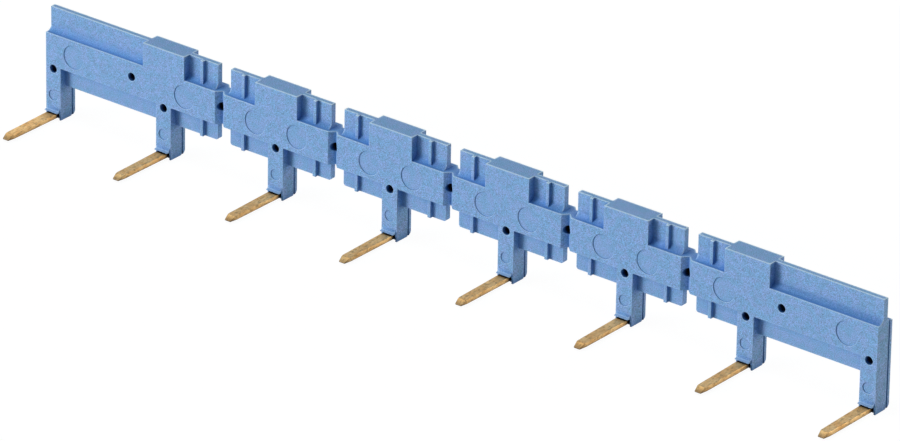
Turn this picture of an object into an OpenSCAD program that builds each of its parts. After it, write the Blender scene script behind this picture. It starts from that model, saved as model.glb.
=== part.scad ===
// Terminal block jumper bar: a brass contact comb moulded into a one-piece
// insulating body. X runs along the bar, Y goes back, Z is up. Millimetres.
// Shapes are drawn with Y 0 at the body's front face.
// The comb is one stamped and bent strip. The body is moulded round it, so the
// body takes away the comb's own shape and every face of the two meets.

/* [Bar] */
// Number of ways, one leg and one contact blade each
ways = 8; // [4:1:12]
// Spacing of the legs, the width of one socket
pitch = 15.8; // [14.5:0.1:17.5]
// Depth of the moulding, front face to back face
body_depth = 2.45; // [2.3:0.05:3]

/* [Heights] */
// Leg below the lower plate
leg_drop = 4; // [3.3:0.1:5]
// Lower plate, from its bottom edge to the band
lower_plate_height = 2.3; // [1.8:0.1:3]
// Thick band that holds the strip
band_height = 3.9; // [3.7:0.1:4.6]
// Upper plate and blocks above the band
upper_plate_height = 2.8; // [2:0.1:4]

/* [Plates] */
// Thickness of the upper plate
upper_plate_thickness = 0.65; // [0.5:0.05:0.8]
// Thickness of the lower plate
lower_plate_thickness = 0.7; // [0.5:0.05:0.8]
// Gap between neighbouring plates at each break-off notch
plate_gap = 1.75; // [1.3:0.05:2.2]
// Fillet between the band's top and the upper plate
plate_fillet = 0.7; // [0.5:0.05:0.75]
// Rounding of the lower plates' free corners
plate_corner = 0.3; // [0.2:0.05:0.8]

/* [Ribs of the plates] */
// Distance of a rib from its leg's centre line
rib_offset = 5; // [4.6:0.1:5.4]
// Width of a rib
rib_width = 0.4; // [0.3:0.05:0.5]
// How far a rib stands out from its plate
rib_reach = 0.4; // [0.2:0.05:0.45]

/* [Blocks and legs] */
// Width of the block above each inner leg
block_width = 5.85; // [5:0.05:6.5]
// Width of a leg
leg_width = 2.1; // [2.05:0.05:2.6]
// Rounding at the bottom back edge of a leg
leg_heel = 0.6; // [0.3:0.05:0.7]
// Width of the lip over the root of a blade
lip_width = 1.8; // [1.75:0.05:2]
// Forward reach of that lip
lip_reach = 0.45; // [0.3:0.05:0.6]

/* [Notches, holes and marks] */
// Width of a V notch across the band
notch_width = 1.25; // [0.8:0.05:1.3]
// Diameter of the holes left by the mould's locating pins
locator_diameter = 1; // [0.8:0.05:1.1]
// Extra locating hole of each end section, outward from its leg
end_locator_offset = 4.55; // [4:0.05:5]
// Diameter of the ejector marks on the band
ejector_diameter = 2.8; // [2:0.1:3]
// Diameter of the ejector marks on the legs
leg_ejector_diameter = 1.3; // [1:0.1:1.6]
// Depth of an ejector mark
ejector_depth = 0.08; // [0.04:0.01:0.1]

/* [Contact comb] */
// Thickness of the brass sheet
sheet = 0.5; // [0.4:0.05:0.6]
// Length of a blade in front of the body
blade_length = 8.1; // [6:0.05:9]
// Width of a blade at its root, and of the comb's own leg
blade_width = 1.3; // [1.2:0.05:1.35]
// Width of a blade at its tip
blade_tip_width = 1.1; // [0.9:0.05:1.2]
// Height of a blade's underside above the foot of the leg
blade_height = 0.25; // [0.2:0.05:0.6]
// Length of the bevel at a blade's tip
blade_bevel = 0.65; // [0.3:0.05:1]

/* [Hidden] */

// How far joined pieces reach into each other, and how far a cutter runs past a face
merge = 0.5;
past = 1;
// Cutting circles are a little too big, so that they never just touch a face
fillet_ease = 1.03;
corner_ease = 1.01;
round_steps = 48;

// Plastic left above and below the strip inside the band
strip_cover = 0.6;
// Pocket round each blade root: at its sides, above it, and behind the front face
pocket_side = 0.2;
pocket_slot = 0.15;
pocket_depth = 0.35;
// Front edge of the lip
lip_edge = 0.1;
lip_root = 0.2;
// Locating holes of the band above its bottom, those of the legs below it
band_locator_rise = 2.1;
leg_locator_drop = 0.3;
// Ejector marks: sideways from a leg, above the band's bottom, below the lower plate
ejector_x = 2.9;
ejector_rise = 1.9;
leg_ejector_drop = 1.2;
// Groove where the mould halves meet, down the sides of the legs and the bar's ends
parting_y = 1.95;
parting_width = 0.25;
parting_depth = 0.1;
parting_stop = 0.2;
// Inner radius of the comb's bend, and how far blade and bend share their metal
bend_inner = 0.3;
bend_lap = 0.2;
// Tip of a blade: length of its narrowed end, narrowing of each side, height of its edge
nose_length = 0.9;
nose_taper = 0.15;
nose_edge = 0.12;

half_span = (ways - 1) / 2 * pitch;
half_length = half_span + leg_width / 2;
lower_z = leg_drop;
band_z = lower_z + lower_plate_height;
band_top = band_z + band_height;
top_z = band_top + upper_plate_height;
mid_y = body_depth / 2;
upper_y = mid_y - upper_plate_thickness / 2;
lower_y = mid_y - lower_plate_thickness / 2;
strip_y = mid_y - sheet / 2;
strip_z = band_z + strip_cover;
strip_top = band_top - strip_cover;
blade_top = blade_height + sheet;
lip_z = blade_top + pocket_slot;
bend_outer = bend_inner + sheet;
// The origin is at the bottom centre of the whole part, blades included.
centre_y = (blade_length - body_depth) / 2;

blue = [0.42, 0.60, 0.82];
brass = [0.78, 0.66, 0.42];

function leg_x(i) = (i - (ways - 1) / 2) * pitch;
function gap_x(i) = leg_x(i) + pitch / 2;

// A profile drawn in Y and Z, drawn out along X from x0 to x1.
module along_x(x0, x1) {
  translate([x0, 0, 0])
    rotate([90, 0, 90])
      linear_extrude(height = x1 - x0) children();
}

// A profile drawn in X and Z, drawn out along Y from y0 to y1.
module along_y(y0, y1) {
  translate([0, y1, 0])
    rotate([90, 0, 0])
      linear_extrude(height = y1 - y0) children();
}

// Where the plates start and end: one long section at each end of the bar,
// and one between every two notches. There is no notch beside the end legs.
function section_start(k) = k == 0 ? -half_length : gap_x(k) + plate_gap / 2;
function section_end(k) = k == ways - 3 ? half_length : gap_x(k + 1) - plate_gap / 2;

// Upper plate with a concave fillet down to the band, front and back.
module upper_profile() {
  fillet_top = band_top + plate_fillet;
  translate([upper_y, band_top - merge]) square([upper_plate_thickness, upper_plate_height + merge]);
  difference() {
    translate([upper_y - plate_fillet, band_top - merge])
      square([upper_plate_thickness + 2 * plate_fillet, plate_fillet + merge]);
    translate([upper_y - plate_fillet, fillet_top])
      circle(r = plate_fillet * fillet_ease, $fn = round_steps);
    translate([upper_y + upper_plate_thickness + plate_fillet, fillet_top])
      circle(r = plate_fillet * fillet_ease, $fn = round_steps);
  }
}

module upper_plates() {
  for (k = [0 : ways - 3])
    along_x(section_start(k), section_end(k)) upper_profile();
}

// What is cut off at a free bottom corner; side is -1 for a left corner, 1 for a right one.
module corner_waste(x, side) {
  translate([x, lower_z])
    mirror([side > 0 ? 1 : 0, 0])
      difference() {
        translate([-past, -past]) square([past + plate_corner, past + plate_corner]);
        translate([plate_corner, plate_corner]) circle(r = plate_corner * corner_ease, $fn = round_steps);
      }
}

module lower_plates() {
  for (k = [0 : ways - 3])
    along_y(lower_y, lower_y + lower_plate_thickness)
      difference() {
        translate([section_start(k), lower_z])
          square([section_end(k) - section_start(k), lower_plate_height + merge]);
        if (k > 0) corner_waste(section_start(k), -1);
        if (k < ways - 3) corner_waste(section_end(k), 1);
      }
}

// Upright rib on the front of the upper and the lower plate.
module rib(x) {
  translate([x - rib_width / 2, upper_y - rib_reach, band_top - merge])
    cube([rib_width, rib_reach + upper_plate_thickness / 2, upper_plate_height + merge]);
  translate([x - rib_width / 2, lower_y - rib_reach, lower_z])
    cube([rib_width, rib_reach + lower_plate_thickness / 2, lower_plate_height + merge]);
}

// One rib on each side of every notch.
module ribs() {
  for (i = [1 : ways - 3]) {
    rib(leg_x(i) + rib_offset);
    rib(leg_x(i + 1) - rib_offset);
  }
}

module leg_profile() {
  difference() {
    square([body_depth, band_z + merge]);
    difference() {
      translate([body_depth - leg_heel, -past]) square([leg_heel + past, leg_heel + past]);
      translate([body_depth - leg_heel, leg_heel])
        circle(r = leg_heel * corner_ease, $fn = round_steps);
    }
  }
}

// Lip that curves forward over the root of a blade.
module lip_profile() {
  difference() {
    translate([-lip_reach, lip_z]) square([lip_reach + lip_root, lip_edge + lip_reach]);
    translate([-lip_reach, lip_z + lip_edge + lip_reach])
      circle(r = lip_reach * corner_ease, $fn = round_steps);
  }
}

module leg(i) {
  x = leg_x(i);
  along_x(x - leg_width / 2, x + leg_width / 2) leg_profile();
  along_x(x - lip_width / 2, x + lip_width / 2) lip_profile();
}

module blocks() {
  for (i = [1 : ways - 2])
    translate([leg_x(i) - block_width / 2, 0, band_top - merge])
      cube([block_width, body_depth, upper_plate_height + merge]);
}

module band() {
  translate([-half_length, 0, band_z]) cube([2 * half_length, body_depth, band_height]);
}

// V notches across the band, front and back, where the bar is broken to length.
// The cutter's sides slope at 45 degrees and run on past the face.
module notch_plan() {
  w = notch_width;
  polygon([[-w, -w / 2], [w, -w / 2], [0, w / 2]]);
}

module notches() {
  for (i = [1 : ways - 3])
    translate([gap_x(i), 0, band_z - past])
      linear_extrude(height = band_height + 2 * past) {
        notch_plan();
        translate([0, body_depth]) mirror([0, 1]) notch_plan();
      }
}

// One locating hole, open at the front and back, down to the strip.
module locator(x, z) {
  for (y = [-past, strip_y + sheet])
    translate([x, y, z])
      rotate([-90, 0, 0])
        cylinder(h = strip_y + past, d = locator_diameter, $fn = round_steps);
}

module locators() {
  for (i = [0 : ways - 1]) locator(leg_x(i), band_z - leg_locator_drop);
  for (i = [1 : ways - 3]) locator(gap_x(i), band_z + band_locator_rise);
  locator(leg_x(1) - end_locator_offset, band_z + band_locator_rise);
  locator(leg_x(ways - 2) + end_locator_offset, band_z + band_locator_rise);
}

// Shallow round marks left by the ejector pins, all on the front face.
module ejector_mark(x, z, d) {
  translate([x, -past, z])
    rotate([-90, 0, 0])
      cylinder(h = past + ejector_depth, d = d, $fn = round_steps);
}

module ejector_marks() {
  for (i = [0 : ways - 3]) {
    ejector_mark(leg_x(i) + ejector_x, band_z + ejector_rise, ejector_diameter);
    ejector_mark(leg_x(i + 2) - ejector_x, band_z + ejector_rise, ejector_diameter);
  }
  for (i = [0 : ways - 1])
    ejector_mark(leg_x(i), lower_z - leg_ejector_drop, leg_ejector_diameter);
}

module parting_groove(x, top) {
  translate([x - parting_depth, parting_y - parting_width / 2, -past])
    cube([2 * parting_depth, parting_width, past + top]);
}

// The grooves end below the band, and run the full height at the bar's ends.
module parting_grooves() {
  for (i = [0 : ways - 1]) {
    parting_groove(leg_x(i) - leg_width / 2, i == 0 ? band_top + past : band_z - parting_stop);
    parting_groove(leg_x(i) + leg_width / 2, i == ways - 1 ? band_top + past : band_z - parting_stop);
  }
}

// Pocket, open below, that leaves a thin dark line round the root of a blade.
module pockets() {
  w = blade_width + 2 * pocket_side;
  for (i = [0 : ways - 1])
    translate([leg_x(i) - w / 2, -past, -past])
      cube([w, past + pocket_depth, past + lip_z]);
}

module insulating_body() {
  color(blue)
    translate([0, centre_y, 0])
    difference() {
      union() {
        band();
        upper_plates();
        lower_plates();
        ribs();
        blocks();
        for (i = [0 : ways - 1]) leg(i);
      }
      notches();
      locators();
      ejector_marks();
      parting_grooves();
      pockets();
      comb_shape();
    }
}

// Side view of one comb leg: down the body, round the bend, out to the tip.
module comb_side() {
  bend_y = strip_y - bend_inner;
  bend_z = blade_top + bend_inner;
  difference() {
    union() {
      translate([strip_y, blade_height]) square([sheet, strip_z + merge - blade_height]);
      translate([bend_y, blade_height]) square([bend_outer, bend_outer]);
    }
    translate([bend_y, bend_z]) circle(r = bend_inner * corner_ease, $fn = round_steps);
    difference() {
      translate([bend_y, blade_height - past]) square([bend_outer + past, bend_outer + past]);
      translate([bend_y, bend_z]) circle(r = bend_outer * corner_ease, $fn = round_steps);
    }
  }
}

// Blade seen from above: it narrows from the root to the tip, then to its nose.
module blade_plan() {
  root = blade_width / 2;
  tip = blade_tip_width / 2;
  polygon([[-root, strip_y - bend_lap], [root, strip_y - bend_lap], [root, 0],
    [tip, nose_length - blade_length], [tip - nose_taper, -blade_length],
    [nose_taper - tip, -blade_length], [-tip, nose_length - blade_length], [-root, 0]]);
}

// Side view of the blade with a bevel on top of the tip.
module blade_side() {
  polygon([[strip_y - bend_lap, blade_height], [strip_y - bend_lap, blade_top],
    [blade_bevel - blade_length, blade_top], [-blade_length, blade_height + nose_edge],
    [-blade_length, blade_height]]);
}

module blade(x) {
  intersection() {
    translate([x, 0, blade_height - past]) linear_extrude(height = sheet + 2 * past) blade_plan();
    along_x(x - blade_width, x + blade_width) blade_side();
  }
}

module comb_shape() {
  translate([-half_span - blade_width / 2, strip_y, strip_z])
    cube([2 * half_span + blade_width, sheet, strip_top - strip_z]);
  for (i = [0 : ways - 1]) {
    along_x(leg_x(i) - blade_width / 2, leg_x(i) + blade_width / 2) comb_side();
    blade(leg_x(i));
  }
}

module contact_comb() {
  color(brass) translate([0, centre_y, 0]) comb_shape();
}

insulating_body();
contact_comb();
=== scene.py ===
import bpy
import math
from mathutils import Matrix, Vector


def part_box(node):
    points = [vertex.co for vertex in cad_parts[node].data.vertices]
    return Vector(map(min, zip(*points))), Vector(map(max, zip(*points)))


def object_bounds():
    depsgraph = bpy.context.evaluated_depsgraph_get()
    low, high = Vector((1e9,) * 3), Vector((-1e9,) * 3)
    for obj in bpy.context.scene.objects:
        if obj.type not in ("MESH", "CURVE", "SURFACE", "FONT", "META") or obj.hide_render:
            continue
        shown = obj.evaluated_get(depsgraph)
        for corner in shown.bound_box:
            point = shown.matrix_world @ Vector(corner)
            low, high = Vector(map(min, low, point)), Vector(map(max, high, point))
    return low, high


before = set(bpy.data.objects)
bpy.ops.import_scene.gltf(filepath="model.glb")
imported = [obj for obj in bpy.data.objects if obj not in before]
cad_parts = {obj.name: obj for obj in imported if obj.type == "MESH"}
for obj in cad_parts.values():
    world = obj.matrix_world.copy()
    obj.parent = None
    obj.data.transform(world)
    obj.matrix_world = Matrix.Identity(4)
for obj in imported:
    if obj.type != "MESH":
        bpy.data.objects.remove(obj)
cad_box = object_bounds()

MM = 0.001
body_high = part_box("insulating_body")[1]

# The photograph's camera. Its place is measured from the middle of the body's top back edge.
CAMERA_FROM_BACK_EDGE_MM = (509.3, -658.9, 395.8)
CAMERA_AZIMUTH = 37.787
CAMERA_ELEVATION = 25.934
CAMERA_ROLL = 0.9965
FOCAL_LENGTH_PX = 8659.7
IMAGE_WIDTH_PX = 900
SENSOR_MM = 36.0

# Colours of the finishes, in screen values.
BLUE = (0.492, 0.648, 0.836)
BLUE_CYAN = (0.470, 0.648, 0.828)
BLUE_LAVENDER = (0.515, 0.648, 0.846)
# Painted shade for corners, recesses and up-facing fillets.
BLUE_PAINTED_SHADE = (0.190, 0.440, 0.730)
# Painted shade down the holes.
BLUE_PAINTED_HOLE_SHADE = (0.030, 0.060, 0.120)
# Pale edge tone: a little rubbing on all edges, mostly a painted highlight on upper edges.
BLUE_WEAR_AND_HIGHLIGHT = (0.820, 0.930, 1.000)
BRASS = (0.860, 0.720, 0.500)
BRASS_COPPERY = (0.810, 0.640, 0.410)
BRASS_DULL = (0.560, 0.470, 0.310)
BRASS_NOSE = (0.420, 0.350, 0.260)
# Painted shade down the holes in the brass.
BRASS_PAINTED_SHADE = (0.110, 0.100, 0.100)

# Grain of the plastic's skin: blob sizes, and how high its bumps stand.
SKIN_CLOUD_MM = 0.9
SKIN_MOTTLE_MM = 0.30
SKIN_SPECK_MM = 0.10
SKIN_GRAIN_MM = 0.13
SKIN_GRAIN_HEIGHT_MM = 0.020
# Grain of the brass: blob sizes, how far they are drawn out along a blade, and the lines' height.
BRASS_CLOUD_MM = 1.2
BRASS_SPECK_MM = 0.25
BRASS_SPECK_DRAWN_OUT = (1, 2, 1)
BRASS_LINE_MM = 0.16
BRASS_LINE_DRAWN_OUT = (1, 7, 1)
BRASS_LINE_HEIGHT_MM = 0.020

# How far a shader looks for other faces, in corners and along outer edges.
HOLLOW_REACH_MM = 1.2
EDGE_REACH_MM = 0.26
# Free share of directions where a tone starts, and where it is full: the tones of hollows, fillets and
# holes are painted shade, and the edge tone is mostly a painted highlight.
HOLLOW_SHADE_SKY = (0.97, 0.30)
FILLET_SHADE_SKY = (0.98, 0.86)
HOLE_SHADE_SKY = (0.40, 0.12)
BRASS_SHADE_SKY = (0.80, 0.50)
EDGE_SKY = (0.92, 0.60)
# How far up a face points where the painted highlight of upper edges, or the painted shade of fillets,
# starts and is full.
HIGHLIGHT_UPWARD = (0.05, 0.35)
FILLET_SHADE_UPWARD = (0.0, 0.5)
# Y where a blade starts to darken towards its nose, and where it is darkest.
NOSE_Y = (-4.4 * MM, -5.2 * MM)
# Samples that each ray spends on a shader's rounded edges, and on its look around.
ROUNDED_SAMPLES = 6
SKY_SAMPLES = 8

# Edge radii that the mould and the stamping tool leave, in the mesh and in the shading.
BODY_EDGE_MM = 0.07
COMB_EDGE_MM = 0.05
BODY_SHADED_EDGE_MM = 0.10
COMB_SHADED_EDGE_MM = 0.06
# Corners closer than this are one, and only edges that turn more than this are rounded.
JOIN_MM = 0.0005
ROUNDED_EDGE_DEGREES = 25

# The floor reaches this far each way, lies this far under the leg ends, and is this grey.
FLOOR_HALF_M = 3.0
FLOOR_GAP_MM = 0.02
FLOOR_GREY = (0.9, 0.9, 0.9, 1.0)

# Nearest and farthest distance that the camera sees.
CLIP_M = (0.01, 20.0)

# Level of the room's light on the part, against plain white at 1.
ROOM_LIGHT = 0.05
# Share of the floor that the camera sees as plain white; the rest carries the shadow.
FLOOR_WHITE_SHARE = 0.90
# The white share is a little over 1, which makes up for what the lit share lacks.
FLOOR_WHITE = 1.06

# Name, place in metres, side in metres, power in watts and colour of each soft lamp.
LAMPS = (
    ("main_lamp", (-1.24, -1.44, 0.40), 0.90, 31.5, (1.0, 1.0, 1.0)),
    ("back_lamp", (0.37, 0.27, 0.11), 0.27, 0.78, (1.0, 0.88, 0.72)),
    ("top_lamp", (-0.10, -0.10, 0.95), 0.60, 3.4, (0.82, 0.95, 1.0)),
    ("rear_lamp", (-0.20, 1.30, 0.12), 0.50, 8.0, (1.0, 1.0, 1.0)),
)


def linear(colour):
    """Screen values to light values: each channel follows the usual screen curve."""
    def channel(c):
        return c / 12.92 if c <= 0.04045 else ((c + 0.055) / 1.055) ** 2.4
    return (*(channel(c) for c in colour), 1.0)


class Term:
    """A socket that can be used in arithmetic: each operator adds one Math node."""

    def __init__(self, nodes, socket):
        self.nodes = nodes
        self.socket = socket

    def _math(self, operation, first, second):
        return self.nodes.node("ShaderNodeMath", {"operation": operation}, {0: first, 1: second})

    def __add__(self, other):
        return self._math("ADD", self, other)

    def __radd__(self, other):
        return self._math("ADD", other, self)

    def __sub__(self, other):
        return self._math("SUBTRACT", self, other)

    def __rsub__(self, other):
        return self._math("SUBTRACT", other, self)

    def __mul__(self, other):
        return self._math("MULTIPLY", self, other)

    def __rmul__(self, other):
        return self._math("MULTIPLY", other, self)


class Nodes:
    """A node tree under construction."""

    def __init__(self, tree):
        self.tree = tree

    def node(self, kind, settings=None, inputs=None, output=0):
        """Adds a node: its settings first, a ramp's stops among them, then its sockets."""
        made = self.tree.nodes.new(kind)
        for key, value in (settings or {}).items():
            if key == "stops":
                self._set_stops(made.color_ramp.elements, value)
            else:
                setattr(made, key, value)
        for key, value in (inputs or {}).items():
            self.feed(made.inputs[key], value)
        return Term(self, made.outputs[output])

    def _set_stops(self, elements, stops):
        while len(elements) < len(stops):
            elements.new(0.5)
        for element, (position, colour) in zip(elements, stops):
            element.position = position
            element.color = linear(colour)

    def feed(self, socket, value):
        """Links a term to a socket, or writes a plain value on it."""
        if isinstance(value, Term):
            self.tree.links.new(value.socket, socket)
        else:
            socket.default_value = value

    def seen_or_mirrored(self):
        """1 for what the camera sees directly, in a mirror or through glass, else 0."""
        rays = [self.node("ShaderNodeLightPath", output=kind)
                for kind in ("Is Camera Ray", "Is Glossy Ray", "Is Transmission Ray")]
        return self.between(rays[0] + rays[1] + rays[2], 0.0, 1.0)

    def between(self, value, low, high):
        """0 at low, 1 at high, straight between and held outside; low may be the larger."""
        return self.node("ShaderNodeMapRange", {}, {"Value": value, "From Min": low, "From Max": high})


class Finish(Nodes):
    """A material under construction: one Principled shader and the nodes that feed it."""

    def __init__(self, name):
        self.material = bpy.data.materials.new(name)
        self.material.use_nodes = True
        super().__init__(self.material.node_tree)
        self.shader = self.tree.nodes["Principled BSDF"]
        self.place = self.node("ShaderNodeTexCoord", output="Object")

    def set(self, **inputs):
        """Feeds the Principled shader's own sockets."""
        for key, value in inputs.items():
            self.feed(self.shader.inputs[key.replace("_", " ")], value)

    def noise(self, size_mm, detail=2.0, drawn_out=(1, 1, 1)):
        """Soft noise from 0 to 1 whose blobs are size_mm across, times drawn_out on each axis."""
        scale = [1 / (size_mm * MM * times) for times in drawn_out]
        place = self.node("ShaderNodeMapping", {}, {"Vector": self.place, "Scale": scale})
        return self.node("ShaderNodeTexNoise", {}, {"Vector": place, "Scale": 1.0, "Detail": detail})

    def ramp(self, factor, *stops):
        """A colour ramp; stops are (position, screen colour)."""
        return self.node("ShaderNodeValToRGB", {"stops": stops}, {"Fac": factor})

    def shaded(self, colour, factor):
        """A colour times a grey factor."""
        return self.node("ShaderNodeVectorMath", {"operation": "SCALE"}, {0: colour, "Scale": factor})

    def blend(self, factor, first, second):
        """From the first colour to the second, as the factor goes from 0 to 1."""
        return self.node("ShaderNodeMix", {"data_type": "RGBA"}, {0: factor, 6: first, 7: second}, 2)

    def bump(self, height, depth_mm, below):
        """A bump from a height of 0 to 1 that stands depth_mm high, on the normal below."""
        inputs = {"Distance": depth_mm * MM, "Height": height, "Normal": below}
        return self.node("ShaderNodeBump", {}, inputs)

    def rounded(self, radius_mm):
        """The normal of the surface as if each edge had this radius."""
        return self.node("ShaderNodeBevel", {"samples": ROUNDED_SAMPLES}, {"Radius": radius_mm * MM})

    def upward(self, normal):
        """How far a normal points up: 1 on level tops, 0 on upright faces."""
        return self.node("ShaderNodeSeparateXYZ", {}, {0: normal}, "Z")

    def open_sky(self):
        """The share of directions that are free: 1 on open faces, near 0 down a hole."""
        reach = {"Distance": HOLLOW_REACH_MM * MM}
        return self.node("ShaderNodeAmbientOcclusion", {"samples": SKY_SAMPLES}, reach, "AO")

    def edges(self):
        """1 along outer edges, 0 on flat faces: it looks for the next face from inside the solid."""
        inner = {"samples": SKY_SAMPLES, "inside": True, "only_local": True}
        reach = {"Distance": EDGE_REACH_MM * MM}
        return self.between(self.node("ShaderNodeAmbientOcclusion", inner, reach, "AO"), *EDGE_SKY)


def moulded_blue():
    """Dull blue plastic: grained and mottled; its edges painted pale, a little as rubbing and mostly as
    a painted highlight on upper edges; painted shade in its hollows, up-facing fillets and holes.
    """
    f = Finish("moulded_blue")
    clouds = f.noise(SKIN_CLOUD_MM)
    mottle = f.noise(SKIN_MOTTLE_MM)
    speck = f.noise(SKIN_SPECK_MM, detail=1.0)
    skin = f.ramp(clouds, (0.40, BLUE_CYAN), (0.50, BLUE), (0.60, BLUE_LAVENDER))
    skin = f.shaded(skin, speck * 1.90 + mottle * 0.24 - 0.07)
    rounded = f.rounded(BODY_SHADED_EDGE_MM)
    upward = f.upward(rounded)
    # Edges are painted pale: a little on all edges as rubbing, and mostly on upper edges as a painted
    # highlight.
    wear_and_highlight = f.edges() * (0.10 + f.between(upward, *HIGHLIGHT_UPWARD) * 0.90)
    skin = f.blend(wear_and_highlight, skin, linear(BLUE_WEAR_AND_HIGHLIGHT))
    open_sky = f.open_sky()
    # Painted shade: corners and recesses are painted a deeper blue.
    skin = f.blend(f.between(open_sky, *HOLLOW_SHADE_SKY) * 0.80, skin, linear(BLUE_PAINTED_SHADE))
    # Painted shade: hollows that face up, such as the fillets, are painted deeper still.
    fillets = f.between(open_sky, *FILLET_SHADE_SKY) * f.between(upward, *FILLET_SHADE_UPWARD)
    skin = f.blend(fillets * 0.60, skin, linear(BLUE_PAINTED_SHADE))
    # Painted shade: down the holes the blue is painted near black.
    f.set(Base_Color=f.blend(f.between(open_sky, *HOLE_SHADE_SKY), skin, linear(BLUE_PAINTED_HOLE_SHADE)))
    f.set(Roughness=0.52 + mottle * 0.14)
    grain = f.noise(SKIN_GRAIN_MM, detail=1.0)
    f.set(Normal=f.bump(grain, SKIN_GRAIN_HEIGHT_MM, rounded))
    f.set(Specular_IOR_Level=0.30)
    return f.material


def rolled_brass():
    """Matt brass: rolling lines, coppery clouds, dull specks, dark cut noses, and painted shade down its
    holes.
    """
    f = Finish("rolled_brass")
    lines = f.noise(BRASS_LINE_MM, drawn_out=BRASS_LINE_DRAWN_OUT)
    clouds = f.noise(BRASS_CLOUD_MM)
    specks = f.noise(BRASS_SPECK_MM, detail=1.0, drawn_out=BRASS_SPECK_DRAWN_OUT)
    tone = f.ramp(clouds, (0.38, BRASS), (0.62, BRASS_COPPERY))
    tone = f.blend(f.between(specks, 0.48, 0.34) * 0.60, tone, linear(BRASS_DULL))
    place_y = f.node("ShaderNodeSeparateXYZ", {}, {0: f.place}, "Y")
    tone = f.blend(f.between(place_y, *NOSE_Y) * 0.80, tone, linear(BRASS_NOSE))
    tone = f.shaded(tone, 0.75 + lines * 0.50)
    # Painted shade: the brass is painted near black down its holes and deep pockets.
    hole_shade = f.between(f.open_sky(), *BRASS_SHADE_SKY)
    f.set(Base_Color=f.blend(hole_shade, tone, linear(BRASS_PAINTED_SHADE)))
    f.set(Metallic=1.0)
    f.set(Roughness=0.45 + clouds * 0.20)
    f.set(Normal=f.bump(lines, BRASS_LINE_HEIGHT_MM, f.rounded(COMB_SHADED_EDGE_MM)))
    return f.material


def soften_edges(node, radius_mm):
    """Rounds a CAD node's sharp edges a little, as a real tool leaves them."""
    weld = node.modifiers.new("join_triangles", "WELD")
    weld.merge_threshold = JOIN_MM * MM
    bevel = node.modifiers.new("edge_radius", "BEVEL")
    bevel.width = radius_mm * MM
    bevel.segments = 2
    bevel.limit_method = "ANGLE"
    bevel.angle_limit = math.radians(ROUNDED_EDGE_DEGREES)
    bevel.use_clamp_overlap = True


def dress(name, material, edge_mm):
    """Gives a CAD node its material on every slot, and its edge radius."""
    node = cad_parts[name]
    node.data.materials.clear()
    node.data.materials.append(material)
    soften_edges(node, edge_mm)


def white_floor():
    """A wide white floor just under the leg ends, with the part's faint shadow on it."""
    half = FLOOR_HALF_M
    low = cad_box[0].z - FLOOR_GAP_MM * MM
    mesh = bpy.data.meshes.new("floor")
    corners = [(-half, -half, low), (half, -half, low), (half, half, low), (-half, half, low)]
    mesh.from_pydata(corners, [], [(0, 1, 2, 3)])
    floor = bpy.data.objects.new("floor", mesh)
    bpy.context.scene.collection.objects.link(floor)
    f = Finish("white_floor")
    f.set(Base_Color=FLOOR_GREY, Roughness=0.9, Specular_IOR_Level=0.0)
    white = f.node("ShaderNodeEmission", {}, {"Strength": FLOOR_WHITE})
    lit = Term(f, f.shader.outputs[0])
    share = f.seen_or_mirrored() * FLOOR_WHITE_SHARE
    mixed = f.node("ShaderNodeMixShader", {}, {0: share, 1: lit, 2: white})
    f.feed(f.tree.nodes["Material Output"].inputs["Surface"], mixed)
    mesh.materials.append(f.material)


def camera():
    """The photograph's camera, turned by azimuth about Z, tilted down, then rolled."""
    data = bpy.data.cameras.new("photo_camera")
    data.sensor_width = SENSOR_MM
    data.lens = FOCAL_LENGTH_PX * SENSOR_MM / IMAGE_WIDTH_PX
    data.clip_start = CLIP_M[0]
    data.clip_end = CLIP_M[1]
    made = bpy.data.objects.new("photo_camera", data)
    back_edge = Vector((0, body_high.y, body_high.z))
    place = back_edge + Vector(CAMERA_FROM_BACK_EDGE_MM) * MM
    turn = Matrix.Rotation(math.radians(CAMERA_AZIMUTH), 4, "Z")
    tilt = Matrix.Rotation(math.radians(90 - CAMERA_ELEVATION), 4, "X")
    roll = Matrix.Rotation(math.radians(CAMERA_ROLL), 4, "Z")
    made.matrix_world = Matrix.Translation(place) @ turn @ tilt @ roll
    bpy.context.scene.collection.objects.link(made)
    bpy.context.scene.camera = made


def lamp(name, place, side, power, colour):
    """A square soft lamp that faces the part."""
    data = bpy.data.lights.new(name, "AREA")
    data.size = side
    data.energy = power
    data.color = colour
    made = bpy.data.objects.new(name, data)
    made.location = place
    made.rotation_mode = "QUATERNION"
    made.rotation_quaternion = (-Vector(place)).to_track_quat("-Z", "Y")
    bpy.context.scene.collection.objects.link(made)


def pale_room():
    """A room that lights the part at ROOM_LIGHT and shows white to the camera and in the brass."""
    world = bpy.data.worlds.new("pale_room")
    world.use_nodes = True
    room = Nodes(world.node_tree)
    level = ROOM_LIGHT + room.seen_or_mirrored() * (1.0 - ROOM_LIGHT)
    background = world.node_tree.nodes["Background"]
    background.inputs["Color"].default_value = (1.0, 1.0, 1.0, 1.0)
    room.feed(background.inputs["Strength"], level)
    bpy.context.scene.world = world


dress("insulating_body", moulded_blue(), BODY_EDGE_MM)
dress("contact_comb", rolled_brass(), COMB_EDGE_MM)
white_floor()
pale_room()
for row in LAMPS:
    lamp(*row)
camera()
bpy.context.scene.view_settings.view_transform = "Standard"
